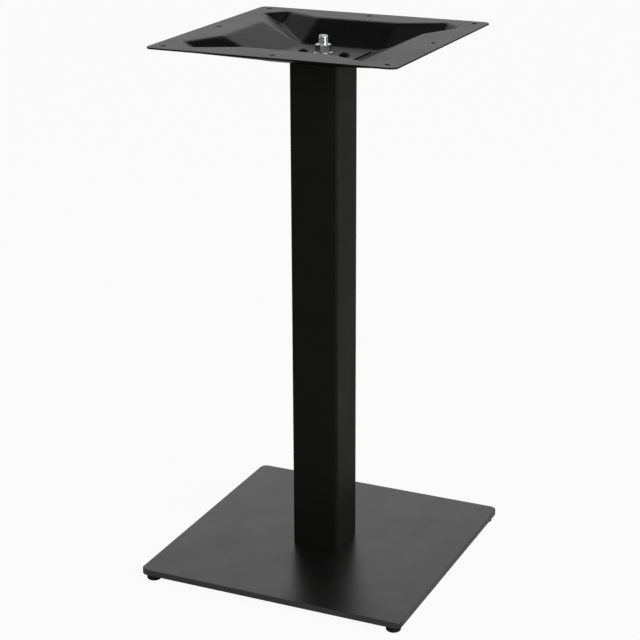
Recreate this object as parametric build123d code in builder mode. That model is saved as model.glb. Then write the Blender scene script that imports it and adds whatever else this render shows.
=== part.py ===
# Square pedestal table base: a flat steel foot plate, a square tube column and a pressed steel pan that
# carries the table top. One long threaded rod runs down the column and clamps the three together.
# Millimetres, +Z up. The origin is on the floor, under the middle of the column.
import os
from math import asin, cos, radians, sin, tan

from build123d import *

os.makedirs("parts", exist_ok=True)

# Base plate
plate_side = 380
plate_thickness = 8
plate_corner_radius = 10
plate_edge_round = 1

# Levelling feet: a plastic pad moulded round the head of a threaded stud
pad_diameter = 20
pad_height = 10
pad_bottom_round = 2.5
pad_top_chamfer = 0.5
pad_floor = 2.5
pad_lip = 1.5
foot_inset = 14
stud_diameter = 8
stud_head_flats = 13
stud_tip_chamfer = 0.8
stud_thread_gap = 0.05
stud_tip_gap = 0.7
tapped_hole_skin = 1.5

# Column
column_side = 67
column_wall = 2
column_inside_radius = 2
column_length = 681

# Locators welded to the base plate and to the pan, inside the ends of the column
locator_height = 8
locator_gap = 0.3
locator_corner_radius = 3

# Top pan, pressed from one sheet. The two shares are of the side of its recess.
pan_side = 335
pan_corner_radius = 10
pan_sheet = 2
pan_depth = 27
flange_width = 52.5
flange_width_at_arm = 25.5
recess_straight_share = 0.504
arm_chamfer = 27
arm_end_run = 11.5
pan_floor_share = 0.487
bend_radius = 5
screw_hole_diameter = 7
screw_hole_inset = 17.5
press_margin = 20

# Stiffening plate, riveted to the floor of the pan beside the rod
stiffener_side = 98
stiffener_thickness = 2
stiffener_corner_radius = 10
stiffener_edge_round = 0.5
rivet_spacing = 58
rivet_shank_diameter = 6
rivet_head_diameter = 15
rivet_head_height = 5
rivet_gap = 0.05

# Tie rod with its nuts and washers
rod_diameter = 12
rod_tip_chamfer = 1.5
rod_below_flange = 0.5
rod_tail = 1.5
rod_hole_gap = 0.5
nut_thread_gap = 0.05
nut_wall = 3.5
nut_chamfer_angle = 30
nut_bore_chamfer = 0.6
top_nut_height = 10
top_nut_turn = 34.5
bottom_nut_height = 6
washer_rim = 5.5
washer_thickness = 2.5
washer_edge_chamfer = 0.4
nut_pocket_depth = 5
nut_pocket_gap = 2

# Heights that follow from the stack of pieces
plate_bottom = pad_height
plate_top = plate_bottom + plate_thickness
column_top = plate_top + column_length
pan_floor_top = column_top + pan_sheet
flange_top = pan_floor_top + pan_depth
stiffener_top = pan_floor_top + stiffener_thickness
top_nut_seat = stiffener_top + washer_thickness
rod_top = flange_top - rod_below_flange
pocket_roof = plate_bottom + nut_pocket_depth
bottom_nut_seat = pocket_roof - washer_thickness
rod_bottom = bottom_nut_seat - bottom_nut_height - rod_tail

# Sizes that follow from a fit
rod_hole_radius = rod_diameter / 2 + rod_hole_gap
nut_bore_radius = rod_diameter / 2 + nut_thread_gap
nut_flats = rod_diameter + 2 * nut_wall
hexagon_half_angle = 30
nut_corner = nut_flats / 2 / cos(radians(hexagon_half_angle))
nut_chamfer = (nut_corner - nut_flats / 2) * tan(radians(nut_chamfer_angle))
washer_radius = rod_hole_radius + washer_rim
nut_pocket_radius = washer_radius + nut_pocket_gap
column_inside = column_side - 2 * column_wall
locator_side = column_inside - 2 * locator_gap
tapped_hole_depth = plate_thickness - tapped_hole_skin
stud_reach = tapped_hole_depth - stud_tip_gap
stud_head_height = pad_height - pad_floor - pad_lip
rivet_hole_radius = rivet_shank_diameter / 2 + rivet_gap
rivet_places = [(-rivet_spacing / 2, 0), (rivet_spacing / 2, 0)]
dome_radius = (rivet_head_diameter**2 / 4 + rivet_head_height**2) / (2 * rivet_head_height)
dome_drop = dome_radius - rivet_head_height
dome_half_angle = asin(rivet_head_diameter / 2 / dome_radius) / 2

# One foot under each corner, named as seen from the front
foot_offset = plate_side / 2 - foot_inset
foot_places = {
    "front_left": (-foot_offset, -foot_offset),
    "front_right": (foot_offset, -foot_offset),
    "rear_left": (-foot_offset, foot_offset),
    "rear_right": (foot_offset, foot_offset),
}


# Base plate: flat plate with a sunk seat for the bottom nut and blind tapped holes for the feet
with BuildPart() as base_plate:
    with BuildSketch(Plane.XY.offset(plate_bottom)):
        RectangleRounded(plate_side, plate_side, plate_corner_radius)
    extrude(amount=plate_thickness)
    fillet(base_plate.faces().sort_by(Axis.Z)[-1].edges(), radius=plate_edge_round)
    with BuildSketch(Plane.XY.offset(plate_bottom)):
        Circle(rod_hole_radius)
    extrude(amount=plate_thickness, mode=Mode.SUBTRACT)
    with BuildSketch(Plane.XY.offset(plate_bottom)):
        Circle(nut_pocket_radius)
    extrude(amount=nut_pocket_depth, mode=Mode.SUBTRACT)
    with BuildSketch(Plane.XY.offset(plate_bottom)):
        with Locations(*foot_places.values()):
            Circle(stud_diameter / 2 + stud_thread_gap)
    extrude(amount=tapped_hole_depth, mode=Mode.SUBTRACT)
base_plate.part.label = "base_plate"
export_step(base_plate.part, "parts/base_plate.step")


# Feet: each stud's hexagon head is held in the pad that is moulded over it
stud_bottom = pad_floor
stud_shoulder = stud_bottom + stud_head_height
stud_top = plate_bottom + stud_reach
for place, (foot_x, foot_y) in foot_places.items():
    foot_plane = Plane(origin=(foot_x, foot_y, 0))

    with BuildPart() as foot_stud:
        with BuildSketch(foot_plane.offset(stud_bottom)):
            RegularPolygon(stud_head_flats / 2, 6, major_radius=False)
        extrude(amount=stud_head_height)
        with BuildSketch(foot_plane.offset(stud_shoulder)):
            Circle(stud_diameter / 2)
        extrude(amount=stud_top - stud_shoulder)
        chamfer(foot_stud.faces().sort_by(Axis.Z)[-1].edges(), length=stud_tip_chamfer)
    foot_stud.part.label = f"foot_stud_{place}"
    export_step(foot_stud.part, f"parts/foot_stud_{place}.step")

    with BuildPart() as foot_pad:
        with BuildSketch(foot_plane):
            Circle(pad_diameter / 2)
        extrude(amount=pad_height)
        fillet(foot_pad.faces().sort_by(Axis.Z)[0].edges(), radius=pad_bottom_round)
        chamfer(foot_pad.faces().sort_by(Axis.Z)[-1].edges(), length=pad_top_chamfer)
        with BuildSketch(foot_plane.offset(stud_bottom)):
            RegularPolygon(stud_head_flats / 2, 6, major_radius=False)
        extrude(amount=stud_head_height, mode=Mode.SUBTRACT)
        with BuildSketch(foot_plane.offset(stud_shoulder)):
            Circle(stud_diameter / 2)
        extrude(amount=pad_lip, mode=Mode.SUBTRACT)
    foot_pad.part.label = f"foot_pad_{place}"
    export_step(foot_pad.part, f"parts/foot_pad_{place}.step")


# Column: square tube that stands on the plate
with BuildPart() as column:
    with BuildSketch(Plane.XY.offset(plate_top)):
        RectangleRounded(column_side, column_side, column_inside_radius + column_wall)
        RectangleRounded(column_inside, column_inside, column_inside_radius, mode=Mode.SUBTRACT)
    extrude(amount=column_length)
column.part.label = "column"
export_step(column.part, "parts/column.step")


# Locators: square blocks that keep the column ends centred on the rod
locator_bottoms = {
    "lower_locator": plate_top,
    "upper_locator": column_top - locator_height,
}
for name, bottom in locator_bottoms.items():
    with BuildPart() as locator:
        with BuildSketch(Plane.XY.offset(bottom)):
            RectangleRounded(locator_side, locator_side, locator_corner_radius)
            Circle(rod_hole_radius, mode=Mode.SUBTRACT)
        extrude(amount=locator_height)
    locator.part.label = name
    export_step(locator.part, f"parts/{name}.step")


# Recess of the pan: a four-armed star. Each side slopes from a straight edge down to the square floor.
# Each corner arm is a trough of two flat cheeks that meet on the diagonal, closed by a steep end.
recess_half = pan_side / 2 - flange_width
straight_half = recess_half * recess_straight_share
arm_tip = pan_side / 2 - flange_width_at_arm
arm_shoulder = arm_tip - arm_chamfer
arm_end = (arm_tip + arm_shoulder) / 2 - arm_end_run
floor_half = recess_half * pan_floor_share
cheek_normal = Vector(arm_tip - recess_half, arm_shoulder - straight_half, 0).cross(
    Vector(floor_half - recess_half, floor_half - straight_half, -pan_depth)
)
arm_end_from_bend = Vector(arm_end - recess_half, arm_end - straight_half, 0)
arm_end_drop = cheek_normal.dot(arm_end_from_bend) / cheek_normal.Z


def facet(*corners):
    return Face(Wire.make_polygon([Vector(*corner) for corner in corners]))


def turned(point, quarter):
    x, y, height = point
    for _ in range(quarter):
        x, y = -y, x
    return (x, y, height)


rim_points = []
floor_points = []
facets = []
for quarter in range(4):
    near_bend = turned((recess_half, straight_half, flange_top), quarter)
    near_shoulder = turned((arm_tip, arm_shoulder, flange_top), quarter)
    far_shoulder = turned((arm_shoulder, arm_tip, flange_top), quarter)
    far_bend = turned((straight_half, recess_half, flange_top), quarter)
    next_bend = turned((-straight_half, recess_half, flange_top), quarter)
    trough_end = turned((arm_end, arm_end, flange_top - arm_end_drop), quarter)
    floor_corner = turned((floor_half, floor_half, pan_floor_top), quarter)
    next_floor_corner = turned((-floor_half, floor_half, pan_floor_top), quarter)
    rim_points += [near_bend, near_shoulder, far_shoulder, far_bend]
    floor_points.append(floor_corner)
    facets += [
        facet(near_bend, near_shoulder, trough_end, floor_corner),
        facet(near_shoulder, far_shoulder, trough_end),
        facet(trough_end, far_shoulder, far_bend, floor_corner),
        facet(far_bend, next_bend, next_floor_corner, floor_corner),
    ]
recess = Solid(Shell([facet(*rim_points), facet(*floor_points), *facets]))


# Press block: the shape of the sheet's upper face, with its rim and floor bends rounded
with BuildPart() as press_block:
    with BuildSketch(Plane.XY.offset(flange_top)):
        Rectangle(pan_side + 2 * press_margin, pan_side + 2 * press_margin)
    extrude(amount=-(pan_depth + press_margin))
    add(recess, mode=Mode.SUBTRACT)
    recess_edges = press_block.edges(Select.LAST).group_by(Axis.Z)
    fillet(recess_edges[0] + recess_edges[-1], radius=bend_radius)


# Top pan: the layer between the press block and the same block one sheet lower
screw_pitch = pan_side / 2 - screw_hole_inset
screw_places = [(x, y) for x in (-screw_pitch, 0, screw_pitch) for y in (-screw_pitch, 0, screw_pitch)]
screw_places.remove((0, 0))
with BuildPart() as top_pan:
    with BuildSketch(Plane.XY.offset(flange_top)):
        RectangleRounded(pan_side, pan_side, pan_corner_radius)
    extrude(amount=-(pan_depth + pan_sheet))
    add(press_block.part, mode=Mode.INTERSECT)
    add(press_block.part.moved(Location((0, 0, -pan_sheet))), mode=Mode.SUBTRACT)
    with BuildSketch(Plane.XY.offset(flange_top)):
        with Locations(*screw_places):
            Circle(screw_hole_diameter / 2)
        with Locations(*rivet_places):
            Circle(rivet_hole_radius)
        Circle(rod_hole_radius)
    extrude(amount=-(pan_depth + pan_sheet), mode=Mode.SUBTRACT)
top_pan.part.label = "top_pan"
export_step(top_pan.part, "parts/top_pan.step")


# Stiffening plate: doubles the floor of the pan under the nut
with BuildPart() as stiffening_plate:
    with BuildSketch(Plane.XY.offset(pan_floor_top)):
        RectangleRounded(stiffener_side, stiffener_side, stiffener_corner_radius)
        Circle(rod_hole_radius, mode=Mode.SUBTRACT)
        with Locations(*rivet_places):
            Circle(rivet_hole_radius, mode=Mode.SUBTRACT)
    extrude(amount=stiffener_thickness)
    outer_edges = stiffening_plate.faces().sort_by(Axis.Z)[-1].outer_wire().edges()
    fillet(outer_edges, radius=stiffener_edge_round)
stiffening_plate.part.label = "stiffening_plate"
export_step(stiffening_plate.part, "parts/stiffening_plate.step")


# Rivets: domed heads on the stiffening plate, with their tails set flush under the pan's floor
with BuildPart() as stiffener_rivets:
    for rivet_x, rivet_y in rivet_places:
        with BuildSketch(Plane((rivet_x, rivet_y, column_top))):
            Circle(rivet_shank_diameter / 2)
        extrude(amount=stiffener_top - column_top)
        with BuildSketch(Plane((rivet_x, rivet_y, stiffener_top), x_dir=(1, 0, 0), z_dir=(0, -1, 0))):
            with BuildLine():
                ThreePointArc(
                    (rivet_head_diameter / 2, 0),
                    (dome_radius * sin(dome_half_angle), dome_radius * cos(dome_half_angle) - dome_drop),
                    (0, rivet_head_height),
                )
                Line((0, rivet_head_height), (0, 0))
                Line((0, 0), (rivet_head_diameter / 2, 0))
            make_face()
        revolve(axis=Axis((rivet_x, rivet_y, 0), (0, 0, 1)))
stiffener_rivets.part.label = "stiffener_rivets"
export_step(stiffener_rivets.part, "parts/stiffener_rivets.step")


# Tie rod: threaded rod from the bottom nut to just under the flange
with BuildPart() as tie_rod:
    with BuildSketch(Plane.XY.offset(rod_bottom)):
        Circle(rod_diameter / 2)
    extrude(amount=rod_top - rod_bottom)
    chamfer(tie_rod.edges().filter_by(GeomType.CIRCLE), length=rod_tip_chamfer)
tie_rod.part.label = "tie_rod"
export_step(tie_rod.part, "parts/tie_rod.step")


# Washers: one on the stiffening plate, one in the pocket under the base plate
washer_bottoms = {
    "top_washer": stiffener_top,
    "bottom_washer": bottom_nut_seat,
}
for name, bottom in washer_bottoms.items():
    with BuildPart() as washer:
        with BuildSketch(Plane.XY.offset(bottom)):
            Circle(washer_radius)
            Circle(rod_hole_radius, mode=Mode.SUBTRACT)
        extrude(amount=washer_thickness)
        rims = washer.edges().filter_by(GeomType.CIRCLE)
        chamfer(rims.group_by(SortBy.RADIUS)[-1], length=washer_edge_chamfer)
    washer.part.label = name
    export_step(washer.part, f"parts/{name}.step")


# Nuts: hexagons with their corners turned off to a cone at both ends
nut_sizes = {
    "top_nut": (top_nut_seat, top_nut_height, top_nut_turn),
    "bottom_nut": (bottom_nut_seat - bottom_nut_height, bottom_nut_height, 0),
}
for name, (bottom, height, turn) in nut_sizes.items():
    with BuildPart() as nut:
        with BuildSketch(Plane.XY.offset(bottom)):
            RegularPolygon(nut_flats / 2, 6, major_radius=False, rotation=turn)
        extrude(amount=height)
        top = bottom + height
        with BuildSketch(Plane.XZ):
            with BuildLine():
                Polyline(
                    (0, bottom),
                    (nut_flats / 2, bottom),
                    (nut_corner, bottom + nut_chamfer),
                    (nut_corner, top - nut_chamfer),
                    (nut_flats / 2, top),
                    (0, top),
                    close=True,
                )
            make_face()
        revolve(axis=Axis.Z, mode=Mode.INTERSECT)
        with BuildSketch(Plane.XY.offset(bottom)):
            Circle(nut_bore_radius)
        extrude(amount=height, mode=Mode.SUBTRACT)
        rims = nut.edges().filter_by(GeomType.CIRCLE)
        chamfer(rims.group_by(SortBy.RADIUS)[0], length=nut_bore_chamfer)
    nut.part.label = name
    export_step(nut.part, f"parts/{name}.step")
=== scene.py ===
# Square table base: a flat foot plate, a square tube column and a pressed pan that carries the table top.
# The pieces follow in the order in which they are put together. Metres, +Z up, -Y to the front.
import math

import bmesh
import bpy
import numpy as np
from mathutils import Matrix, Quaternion, Vector
from mathutils.geometry import delaunay_2d_cdt


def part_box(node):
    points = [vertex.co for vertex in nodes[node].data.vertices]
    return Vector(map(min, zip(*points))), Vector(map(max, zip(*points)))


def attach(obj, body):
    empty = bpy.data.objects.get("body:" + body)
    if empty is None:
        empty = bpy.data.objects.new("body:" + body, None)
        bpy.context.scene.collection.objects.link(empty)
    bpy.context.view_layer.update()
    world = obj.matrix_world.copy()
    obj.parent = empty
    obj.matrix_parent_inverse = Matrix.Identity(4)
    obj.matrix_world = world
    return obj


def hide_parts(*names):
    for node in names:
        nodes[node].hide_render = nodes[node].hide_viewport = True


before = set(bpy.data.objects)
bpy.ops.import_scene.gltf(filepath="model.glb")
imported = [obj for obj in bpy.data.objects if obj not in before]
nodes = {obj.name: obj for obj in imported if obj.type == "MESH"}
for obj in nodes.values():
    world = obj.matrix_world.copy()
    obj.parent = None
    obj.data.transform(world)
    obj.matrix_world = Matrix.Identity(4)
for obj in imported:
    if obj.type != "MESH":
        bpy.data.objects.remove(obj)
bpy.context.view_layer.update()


# Base plate: a thick steel plate with rounded corners and an eased top edge. It is blasted, sprayed with
# black powder and baked, so the powder melts to a satin skin with a slight orange peel.
def mottle(tree, scale, detail):
    """Adds a noise that keeps its place on the piece, and returns its value."""
    place = tree.nodes.new("ShaderNodeTexCoord")
    noise = tree.nodes.new("ShaderNodeTexNoise")
    noise.inputs["Scale"].default_value = scale
    noise.inputs["Detail"].default_value = detail
    tree.links.new(place.outputs["Object"], noise.inputs["Vector"])
    return noise.outputs[0]


def two_colours(tree, share):
    """Adds a mix of two colours by a share, and returns the sockets of the first, the second and the mix."""
    share_at, first_at, second_at, mix_at = 0, 6, 7, 2
    mix = tree.nodes.new("ShaderNodeMix")
    mix.data_type = "RGBA"
    tree.links.new(share, mix.inputs[share_at])
    return mix.inputs[first_at], mix.inputs[second_at], mix.outputs[mix_at]


def stretch(tree, value, low, high):
    """Adds a node that spreads a value between low and high over a range of its own, and returns it."""
    spread = tree.nodes.new("ShaderNodeMapRange")
    spread.inputs["From Min"].default_value = low
    spread.inputs["From Max"].default_value = high
    tree.links.new(value, spread.inputs["Value"])
    return spread


powder = bpy.data.node_groups.new("powder_skin", "ShaderNodeTree")
for socket in ("Thin film", "Thick film"):
    powder.interface.new_socket(socket, in_out="INPUT", socket_type="NodeSocketColor")
for socket in ("Thin film roughness", "Thick film roughness"):
    powder.interface.new_socket(socket, in_out="INPUT", socket_type="NodeSocketFloat")
powder.interface.new_socket("Colour", in_out="OUTPUT", socket_type="NodeSocketColor")
for socket in ("Roughness", "Height"):
    powder.interface.new_socket(socket, in_out="OUTPUT", socket_type="NodeSocketFloat")
given = powder.nodes.new("NodeGroupInput")
result = powder.nodes.new("NodeGroupOutput")

# Clouds a few centimetres wide where the film is thicker, which also melt out a little smoother
clouds = mottle(powder, scale=24, detail=5)
thin_film, thick_film, film_tone = two_colours(powder, clouds)
powder.links.new(given.outputs["Thin film"], thin_film)
powder.links.new(given.outputs["Thick film"], thick_film)
powder.links.new(film_tone, result.inputs["Colour"])
satin = stretch(powder, clouds, low=0.3, high=0.7)
powder.links.new(given.outputs["Thin film roughness"], satin.inputs["To Min"])
powder.links.new(given.outputs["Thick film roughness"], satin.inputs["To Max"])
powder.links.new(satin.outputs[0], result.inputs["Roughness"])

# Orange peel one to two millimetres across, with single powder grains on top of it
grain_share = 0.35
peel = mottle(powder, scale=650, detail=1)
grains = mottle(powder, scale=3200, detail=2)
relief = powder.nodes.new("ShaderNodeMath")
relief.operation = "MULTIPLY_ADD"
relief.inputs[1].default_value = grain_share
powder.links.new(grains, relief.inputs[0])
powder.links.new(peel, relief.inputs[2])
powder.links.new(relief.outputs[0], result.inputs["Height"])


def new_finish(name, relief_strength, relief_depth):
    """Starts a material with a relief, and returns it, its shader and the socket of the relief's height."""
    finish = bpy.data.materials.new(name)
    finish.use_nodes = True
    shader = finish.node_tree.nodes["Principled BSDF"]
    bump = finish.node_tree.nodes.new("ShaderNodeBump")
    bump.inputs["Strength"].default_value = relief_strength
    bump.inputs["Distance"].default_value = relief_depth
    finish.node_tree.links.new(bump.outputs["Normal"], shader.inputs["Normal"])
    return finish, shader, bump.inputs["Height"]


def powder_coat(name, film, shine, thin_roughness, thick_roughness):
    """A black powder coat whose film lies a little thicker in some places than in others."""
    film_spread = 0.28
    coat, shader, height = new_finish(name, relief_strength=0.6, relief_depth=0.00008)
    shader.inputs["Specular IOR Level"].default_value = shine
    skin = coat.node_tree.nodes.new("ShaderNodeGroup")
    skin.node_tree = powder
    skin.inputs["Thin film"].default_value = [(1 - film_spread) * part for part in film] + [1]
    skin.inputs["Thick film"].default_value = [(1 + film_spread) * part for part in film] + [1]
    skin.inputs["Thin film roughness"].default_value = thin_roughness
    skin.inputs["Thick film roughness"].default_value = thick_roughness
    coat.node_tree.links.new(skin.outputs["Colour"], shader.inputs["Base Color"])
    coat.node_tree.links.new(skin.outputs["Roughness"], shader.inputs["Roughness"])
    coat.node_tree.links.new(skin.outputs["Height"], height)
    return coat


plate_film = (0.0023, 0.0023, 0.0023)
plate_coat = powder_coat(
    "satin_black_plate_coat", plate_film, shine=0.82, thin_roughness=0.36, thick_roughness=0.3)
nodes["base_plate"].data.materials[0] = plate_coat


# Levelling feet: a zinc-plated M8 stud with a hexagon head, and a pad of black plastic moulded round that
# head. The stud screws up into the plate, so its rolled thread shows only when the foot is wound out.
bright_zinc, zinc_shader, zinc_height = new_finish(
    "bright_zinc_plate", relief_strength=0.15, relief_depth=0.00002)
zinc_shader.inputs["Metallic"].default_value = 1
zinc = bright_zinc.node_tree

# Patches of a few millimetres where the plating came out brighter and smoother
plating = mottle(zinc, scale=260, detail=4)
dull, bright, zinc_tone = two_colours(zinc, plating)
dull.default_value = (0.6, 0.605, 0.62, 1)
bright.default_value = (0.74, 0.745, 0.75, 1)
zinc.links.new(zinc_tone, zinc_shader.inputs["Base Color"])
polish = stretch(zinc, plating, low=0.3, high=0.7)
polish.inputs["To Min"].default_value = 0.26
polish.inputs["To Max"].default_value = 0.18
zinc.links.new(polish.outputs[0], zinc_shader.inputs["Roughness"])

# Fine pits and scratches of the steel under the plating
pits = mottle(zinc, scale=2600, detail=3)
zinc.links.new(pits, zinc_height)

# The plastic has the fine spark texture of its mould, and is paler and duller where it is scuffed
foot_plastic, plastic_shader, plastic_height = new_finish(
    "moulded_black_plastic", relief_strength=0.4, relief_depth=0.00004)
plastic_shader.inputs["Specular IOR Level"].default_value = 0.15
plastic = foot_plastic.node_tree
scuffs = mottle(plastic, scale=120, detail=4)
plastic_tone = plastic.nodes.new("ShaderNodeValToRGB")
plastic_tone.color_ramp.elements[0].position = 0.35
plastic_tone.color_ramp.elements[0].color = (0.004, 0.004, 0.004, 1)
plastic_tone.color_ramp.elements[1].position = 0.75
plastic_tone.color_ramp.elements[1].color = (0.009, 0.009, 0.0088, 1)
plastic.links.new(scuffs, plastic_tone.inputs[0])
plastic.links.new(plastic_tone.outputs[0], plastic_shader.inputs["Base Color"])
plastic_dull = stretch(plastic, scuffs, low=0, high=1)
plastic_dull.inputs["To Min"].default_value = 0.42
plastic_dull.inputs["To Max"].default_value = 0.62
plastic.links.new(plastic_dull.outputs[0], plastic_shader.inputs["Roughness"])
spark_texture = mottle(plastic, scale=1800, detail=3)
plastic.links.new(spark_texture, plastic_height)


def add_thread(mesh, centre, radius, pitch, bottom, top, chamfer):
    """Winds a rolled thread with rounded crests round an upright rod, and closes its chamfered ends."""
    steps_per_turn = 32
    groove_depth = 0.3 * pitch
    crest_drop = 0.075 * pitch
    section = [(0, crest_drop), (0.25, 0), (0.5, crest_drop), (0.68, groove_depth), (0.82, groove_depth)]
    crest_line = 1
    run_out_turns = 2
    weld_distance = 1e-7
    steps = math.ceil(((top - bottom) / pitch + run_out_turns) * steps_per_turn)
    grid = []
    for step in range(steps + 1):
        turn = step / steps_per_turn
        angle = 2 * math.pi * turn
        row = []
        for along, depth in section:
            height = min(max(bottom + pitch * (turn + along - 1), bottom), top)
            to_end = min(top - height, height - bottom)
            out = min(radius - depth, radius - chamfer + to_end)
            spot = (centre[0] + out * math.cos(angle), centre[1] + out * math.sin(angle), height)
            row.append(mesh.verts.new(spot))
        grid.append(row)
    for step in range(steps):
        # Each turn joins the foot of the one above it, and only the line along its crest is shaded round
        here, ahead = list(grid[step]), list(grid[step + 1])
        if step + 1 + steps_per_turn <= steps:
            here.append(grid[step + steps_per_turn][0])
            ahead.append(grid[step + 1 + steps_per_turn][0])
        for low in range(len(here) - 1):
            flank = mesh.faces.new((here[low], ahead[low], ahead[low + 1], here[low + 1]))
            flank.smooth = True
            flank.loops[0].edge.smooth = low == crest_line
            flank.loops[2].edge.smooth = low + 1 == crest_line
    bmesh.ops.remove_doubles(mesh, verts=mesh.verts, dist=weld_distance)
    bmesh.ops.holes_fill(mesh, edges=[edge for edge in mesh.edges if edge.is_boundary], sides=0)


def circle(x, y, radius, sides):
    """Points evenly spaced round a circle."""
    angles = [2 * math.pi * side / sides for side in range(sides)]
    return [(x + radius * math.cos(angle), y + radius * math.sin(angle)) for angle in angles]


def new_piece(name, mesh, material):
    """Turns a finished bmesh into an object of the scene with one material."""
    data = bpy.data.meshes.new(name)
    mesh.to_mesh(data)
    mesh.free()
    data.materials.append(material)
    piece = bpy.data.objects.new(name, data)
    bpy.context.scene.collection.objects.link(piece)
    return piece


stud_radius = 0.004
stud_pitch = 0.00125
stud_chamfer = 0.0008
head_sides = 6
head_across_flats = 0.013
head_height = 0.006
head_reach = head_across_flats / 2 / math.cos(math.pi / head_sides)
for place in ("front_left", "front_right", "rear_left", "rear_right"):
    nodes[f"foot_pad_{place}"].data.materials[0] = foot_plastic
    stud_low, stud_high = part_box(f"foot_stud_{place}")
    centre = (stud_low + stud_high) / 2
    shoulder = stud_low.z + head_height
    mesh = bmesh.new()
    add_thread(mesh, centre, stud_radius, stud_pitch, shoulder, stud_high.z, stud_chamfer)
    head_corners = circle(centre.x, centre.y, head_reach, head_sides)
    head_edge = [mesh.verts.new((x, y, stud_low.z)) for x, y in head_corners]
    head = mesh.faces.new(head_edge[::-1])
    sides = bmesh.ops.extrude_face_region(mesh, geom=[head], use_keep_orig=True)
    raised = [item for item in sides["geom"] if isinstance(item, bmesh.types.BMVert)]
    bmesh.ops.translate(mesh, verts=raised, vec=(0, 0, head_height))
    bmesh.ops.recalc_face_normals(mesh, faces=mesh.faces)
    stud = new_piece(f"stud_{place}", mesh, bright_zinc)
    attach(stud, f"foot_{place}")
    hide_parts(f"foot_stud_{place}")


# Tie rod with its bottom nut and washer: M12 threaded rod, cut to length and chamfered at both ends. The nut
# and washer sit in the pocket under the plate, and the rod stands up through the middle of everything.
rod_radius = 0.006
rod_pitch = 0.00175
rod_chamfer = 0.0015
rod_low, rod_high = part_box("tie_rod")
mesh = bmesh.new()
add_thread(mesh, (0, 0), rod_radius, rod_pitch, rod_low.z, rod_high.z, rod_chamfer)
rod = new_piece("threaded_rod", mesh, bright_zinc)
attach(rod, "stand")
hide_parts("tie_rod")
for fastener in ("bottom_nut", "bottom_washer"):
    nodes[fastener].data.materials[0] = bright_zinc


# Column: square welded tube, cut square and coated like the plate. A locator block welded to the plate and
# another under the pan fill its two ends, so that it can't turn on the rod.
column_film = (0.0042, 0.0044, 0.0024)
column_coat = powder_coat(
    "matt_black_column_coat", column_film, shine=0.1, thin_roughness=0.5, thick_roughness=0.44)
for upright in ("lower_locator", "column", "upper_locator"):
    nodes[upright].data.materials[0] = column_coat


# Top pan: one blank of 2 mm sheet, pressed to a four-armed star with soft bends and a flat rim. The eight
# screw holes and the outline are punched, which leaves small rolled edges, and it is then powder coated.
# It is drawn in millimetres and brought to metres at the end.
mm = 0.001
_, pan_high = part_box("top_pan")
rim_height = pan_high.z / mm
pan_half = pan_high.x / mm
pan_corner = 10
corner_steps = 12
sheet = 2

# The star: a square floor, straight slopes up to the rim, and four arms with blunt ends in the corners
floor_depth = 27
floor_half = 56
floor_height = rim_height - floor_depth
recess_half = 115
straight_half = 58
shoulder_far, shoulder_near = 142, 115
arm_end = 117

# Soft bends, rolled edges, and the narrow flat ring beside each punched edge
bend_reach = 4.5
bend_rings = (1 / 3, 2 / 3, 1)
bend_directions = 16
edge_roll = 0.15
flat_ring = 1.5

# Holes in the rim for the screws, and in the floor for the rod and the rivets
screw_reach = 150
screw_radius = 3.5
screw_sides = 32
rod_hole_radius = 6.5
rivet_reach = 29
rivet_hole_radius = 3.05
floor_hole_sides = 24

# The pressed middle is a grid of square cells, apart from the floor that the stiffening plate hides
pressed_half = 144
hidden_half = 36
cell = 2.4


def slope(first, second, third):
    """The depth of a flat facet through three points, as a function of the place on the sheet."""
    system = np.array([[x, y, 1] for x, y, _ in (first, second, third)], float)
    share = np.linalg.solve(system, np.array([depth for _, _, depth in (first, second, third)], float))
    return lambda x, y: share[0] * x + share[1] * y + share[2]


floor_corner = (floor_half, floor_half, floor_depth)
near_shoulder = (shoulder_far, shoulder_near, 0)
far_shoulder = (shoulder_near, shoulder_far, 0)
side_slope = slope((floor_half, 0, floor_depth), floor_corner, (recess_half, 0, 0))
arm_cheek = slope((recess_half, straight_half, 0), near_shoulder, floor_corner)
arm_tip = slope(near_shoulder, far_shoulder, (arm_end, arm_end, arm_cheek(arm_end, arm_end)))


def sharp_depth(x, y):
    """Depth of the press tool without its bends. The star is the same in all eight of its octants."""
    far = np.maximum(np.abs(x), np.abs(y))
    near = np.minimum(np.abs(x), np.abs(y))
    arm = np.minimum(arm_cheek(far, near), arm_tip(far, near))
    return np.clip(np.maximum(side_slope(far, near), arm), 0, floor_depth)


def sheet_height(points):
    """Height of the sheet's upper face: the sharp shape averaged over the reach of a soft bend."""
    x, y = np.array(points, float).T
    total = sharp_depth(x, y)
    weight = 1
    for ring in bend_rings:
        reach = bend_reach * ring
        for direction in range(bend_directions):
            angle = 2 * math.pi * (direction + ring) / bend_directions
            total = total + sharp_depth(x + reach * math.cos(angle), y + reach * math.sin(angle)) * ring
            weight = weight + ring
    return rim_height - total / weight


def rounded_square(inset):
    """Points round the blank's outline, moved in by the inset."""
    points = []
    middle = pan_half - pan_corner
    reach = pan_corner - inset
    for quarter in range(4):
        diagonal = math.pi / 2 * (quarter + 0.5)
        corner_x = math.copysign(middle, math.cos(diagonal))
        corner_y = math.copysign(middle, math.sin(diagonal))
        for step in range(corner_steps + 1):
            angle = math.pi / 2 * (quarter + step / corner_steps)
            points.append((corner_x + reach * math.cos(angle), corner_y + reach * math.sin(angle)))
    return points


def grid_steps(half):
    """Where the cells of a square of the pressed middle begin, along one of its sides."""
    return np.arange(-half, half - cell / 2, cell)


def square_border(half):
    """Grid points round a square of the pressed middle."""
    steps = grid_steps(half)
    border = [(x, -half) for x in steps] + [(half, y) for y in steps]
    return border + [(-x, half) for x in steps] + [(-half, -y) for y in steps]


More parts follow.
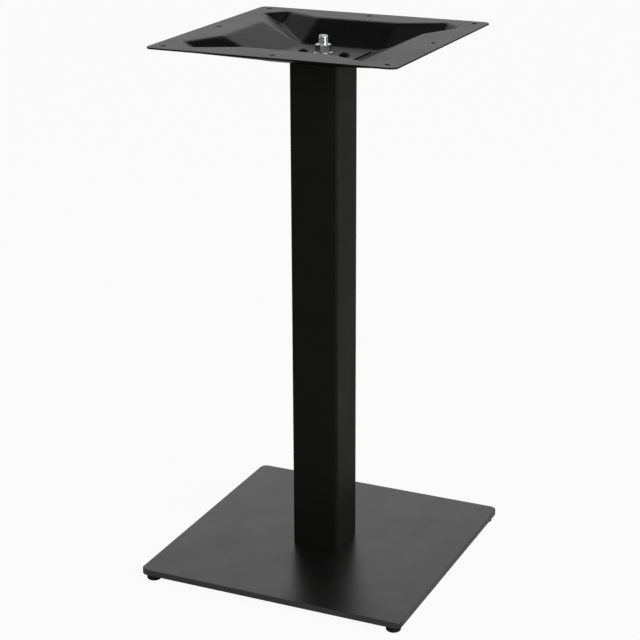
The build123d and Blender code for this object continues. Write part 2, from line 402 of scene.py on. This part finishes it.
def fill_between(loops, keep):
    """Triangles over the flat region between closed loops, kept where the test of their middle says so."""
    whole_hull = 0
    merge_distance = 1e-6
    points, edges = [], []
    for loop in loops:
        start = len(points)
        points += [Vector(point) for point in loop]
        edges += [(start + side, start + (side + 1) % len(loop)) for side in range(len(loop))]
    flat, _, triangles, _, _, _ = delaunay_2d_cdt(points, edges, [], whole_hull, merge_distance)
    kept = []
    for triangle in triangles:
        corners = [flat[corner] for corner in triangle]
        if keep(sum(corners, Vector((0, 0))) / len(corners)):
            kept.append([tuple(corner) for corner in corners])
    return kept


screw_places = [(x, y) for x in (-screw_reach, 0, screw_reach) for y in (-screw_reach, 0, screw_reach)]
screw_places.remove((0, 0))
rivet_holes = [(x, 0, rivet_hole_radius) for x in (-rivet_reach, rivet_reach)]
floor_holes = [(0, 0, rod_hole_radius)] + rivet_holes


def on_rim(middle):
    """True on the flat rim, outside the pressed middle and clear of the screw holes."""
    clear = all((middle - Vector(place)).length > screw_radius + edge_roll for place in screw_places)
    return clear and max(abs(middle.x), abs(middle.y)) > pressed_half


def on_hidden_floor(middle):
    """True on the floor under the stiffening plate, clear of the rod and rivet holes."""
    return all((middle - Vector((x, y))).length > radius for x, y, radius in floor_holes)


rim_loops = [rounded_square(edge_roll), rounded_square(flat_ring), square_border(pressed_half)]
for x, y in screw_places:
    rim_loops.append(circle(x, y, screw_radius + edge_roll, screw_sides))
    rim_loops.append(circle(x, y, screw_radius + flat_ring, screw_sides))
floor_loops = [square_border(hidden_half)]
for x, y, radius in floor_holes:
    floor_loops.append(circle(x, y, radius, floor_hole_sides))
patches = fill_between(rim_loops, on_rim) + fill_between(floor_loops, on_hidden_floor)
for x in grid_steps(pressed_half):
    for y in grid_steps(pressed_half):
        if max(abs(x + cell / 2), abs(y + cell / 2)) > hidden_half:
            patches.append([(x, y), (x + cell, y), (x + cell, y + cell), (x, y + cell)])

mesh = bmesh.new()
heights = iter(sheet_height([corner for patch in patches for corner in patch]))
for patch in patches:
    upper = [mesh.verts.new((x, y, next(heights))) for x, y in patch]
    lower = [mesh.verts.new(corner.co - Vector((0, 0, sheet))) for corner in upper]
    mesh.faces.new(upper)
    mesh.faces.new(lower[::-1])


def close_edge(loops):
    """Closes the sheet's thickness along an edge, by a wall over loops of points from the top down."""
    rows = [[mesh.verts.new(point) for point in loop] for loop in loops]
    for above, below in zip(rows, rows[1:]):
        for side in range(len(above)):
            ahead = (side + 1) % len(above)
            mesh.faces.new((above[side], below[side], below[ahead], above[ahead]))


def roll_edge(loop_at):
    """Closes a punched edge of the rim, with both of its corners rolled over."""
    diagonal = edge_roll * (1 - math.sqrt(0.5))
    strips = [(edge_roll, 0), (diagonal, diagonal), (0, edge_roll)]
    strips += [(inset, sheet - drop) for inset, drop in reversed(strips)]
    close_edge([[(x, y, rim_height - drop) for x, y in loop_at(inset)] for inset, drop in strips])


roll_edge(rounded_square)
for x, y in screw_places:
    roll_edge(lambda inset: circle(x, y, screw_radius + inset, screw_sides))
for x, y, radius in floor_holes:
    hole = circle(x, y, radius, floor_hole_sides)
    close_edge([[(*point, height) for point in hole] for height in (floor_height, floor_height - sheet)])
weld_distance = 0.001
bmesh.ops.remove_doubles(mesh, verts=mesh.verts, dist=weld_distance)
bmesh.ops.recalc_face_normals(mesh, faces=mesh.faces)
bmesh.ops.scale(mesh, verts=mesh.verts, vec=(mm, mm, mm))
for face in mesh.faces:
    face.smooth = True
pan_film = (0.0018, 0.0018, 0.0018)
pan_coat = powder_coat(
    "satin_black_pan_coat", pan_film, shine=0.09, thin_roughness=0.31, thick_roughness=0.26)
pan = new_piece("pressed_pan", mesh, pan_coat)
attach(pan, "stand")
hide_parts("top_pan")


# Stiffening plate: a second square of sheet laid on the floor of the pan and riveted to it on both sides of
# the rod, to spread the pull of the nut. Plate and rivet heads were coated together with the pan.
for stiffener in ("stiffening_plate", "stiffener_rivets"):
    nodes[stiffener].data.materials[0] = pan_coat


# Top nut and washer: an M12 hexagon nut and a plain washer, both of zinc-plated steel. They are drawn down
# on the rod last, which clamps pan, column and plate together.
for fastener in ("top_washer", "top_nut"):
    nodes[fastener].data.materials[0] = bright_zinc


# Studio: a pale floor that runs out to a pale horizon, a dark ceiling with a light middle, and a soft box
# at the right. The camera sees floor and sky white. The coats mirror the floor nearly as it is lit, and the
# sky in its own greys.
def larger(tree, first, second):
    """Adds a node that gives the larger of two values, and returns that value."""
    choice = tree.nodes.new("ShaderNodeMath")
    choice.operation = "MAXIMUM"
    tree.links.new(first, choice.inputs[0])
    tree.links.new(second, choice.inputs[1])
    return choice.outputs[0]


# A grey floor that keeps the shadow, with shares of plain white laid over it
floor_radius = 14
floor_sides = 96
floor_grey = (0.5, 0.5, 0.5, 1)
white_when_seen = 0.94
white_when_mirrored = 0.06
mesh = bmesh.new()
bmesh.ops.create_circle(mesh, cap_ends=True, segments=floor_sides, radius=floor_radius)
floor_paint = bpy.data.materials.new("white_floor")
floor_paint.use_nodes = True
paint = floor_paint.node_tree
paint.nodes.remove(paint.nodes["Principled BSDF"])
matt_paint = paint.nodes.new("ShaderNodeBsdfDiffuse")
matt_paint.inputs["Color"].default_value = floor_grey
glow = paint.nodes.new("ShaderNodeEmission")
floor_path = paint.nodes.new("ShaderNodeLightPath")
seen_floor = larger(paint, floor_path.outputs["Is Camera Ray"], floor_path.outputs["Is Transmission Ray"])
seen_share = paint.nodes.new("ShaderNodeMath")
seen_share.operation = "MULTIPLY"
seen_share.inputs[1].default_value = white_when_seen
paint.links.new(seen_floor, seen_share.inputs[0])
glow_share = paint.nodes.new("ShaderNodeMath")
glow_share.operation = "MULTIPLY_ADD"
glow_share.inputs[1].default_value = white_when_mirrored
paint.links.new(floor_path.outputs["Is Glossy Ray"], glow_share.inputs[0])
paint.links.new(seen_share.outputs[0], glow_share.inputs[2])
lit_floor = paint.nodes.new("ShaderNodeMixShader")
paint.links.new(glow_share.outputs[0], lit_floor.inputs[0])
paint.links.new(matt_paint.outputs[0], lit_floor.inputs[1])
paint.links.new(glow.outputs[0], lit_floor.inputs[2])

# From below the floor is clear, so that it doesn't hide the underside
clear_below = paint.nodes.new("ShaderNodeBsdfTransparent")
floor_side = paint.nodes.new("ShaderNodeNewGeometry")
one_sided = paint.nodes.new("ShaderNodeMixShader")
paint.links.new(floor_side.outputs["Backfacing"], one_sided.inputs[0])
paint.links.new(lit_floor.outputs[0], one_sided.inputs[1])
paint.links.new(clear_below.outputs[0], one_sided.inputs[2])
paint.links.new(one_sided.outputs[0], paint.nodes["Material Output"].inputs["Surface"])
floor = new_piece("studio_floor", mesh, floor_paint)

# The sky's grey by height, from the horizon at 0 to straight up at 1
horizon_grey = 0.54
top_grey = 1
sky_greys = ((0.33, 1), (0.5, 1), (0.68, 0.01), (0.86, 0.01), (0.93, 1))
world = bpy.data.worlds.new("studio")
world.use_nodes = True
bpy.context.scene.world = world
sky = world.node_tree
direction = sky.nodes.new("ShaderNodeTexCoord")
split = sky.nodes.new("ShaderNodeSeparateXYZ")
sky.links.new(direction.outputs["Generated"], split.inputs[0])
brightness = sky.nodes.new("ShaderNodeValToRGB")
brightness.color_ramp.interpolation = "EASE"
brightness.color_ramp.elements[0].color = (horizon_grey, horizon_grey, horizon_grey, 1)
brightness.color_ramp.elements[1].color = (top_grey, top_grey, top_grey, 1)
for height, grey in sky_greys:
    brightness.color_ramp.elements.new(height).color = (grey, grey, grey, 1)
sky.links.new(split.outputs["Z"], brightness.inputs[0])
sky_path = sky.nodes.new("ShaderNodeLightPath")
seen_sky = larger(sky, sky_path.outputs["Is Camera Ray"], sky_path.outputs["Is Transmission Ray"])
backdrop = sky.nodes["Background"]
backdrop.inputs["Color"].default_value = (1, 1, 1, 1)
sky.links.new(larger(sky, brightness.outputs[0], seen_sky), backdrop.inputs["Strength"])

lamp = bpy.data.lights.new("soft_box", "AREA")
lamp.energy = 42
lamp.size = 1.2
lamp_target = Vector((0, 0, 0.4))
soft_box = bpy.data.objects.new("soft_box", lamp)
soft_box.location = (2.0, -0.7, 1.25)
soft_box.rotation_euler = (lamp_target - soft_box.location).to_track_quat("-Z", "Y").to_euler()
bpy.context.scene.collection.objects.link(soft_box)

bpy.context.scene.view_settings.view_transform = "Standard"


# Camera: a long lens that stands a little above the pan, to the right of the front, and looks down on the
# base. It leans over by a fraction of a degree.
camera_data = bpy.data.cameras.new("camera")
camera_data.sensor_width = 36
camera_data.lens = 100.3
camera = bpy.data.objects.new("camera", camera_data)
camera.location = (0.935, -2.0674, 1.1378)
view_direction = Vector((-0.391, 0.8587, -0.3311))
lean = Quaternion((0, 0, 1), math.radians(-0.23))
camera.rotation_euler = (view_direction.to_track_quat("-Z", "Y") @ lean).to_euler()
bpy.context.scene.collection.objects.link(camera)
bpy.context.scene.camera = camera
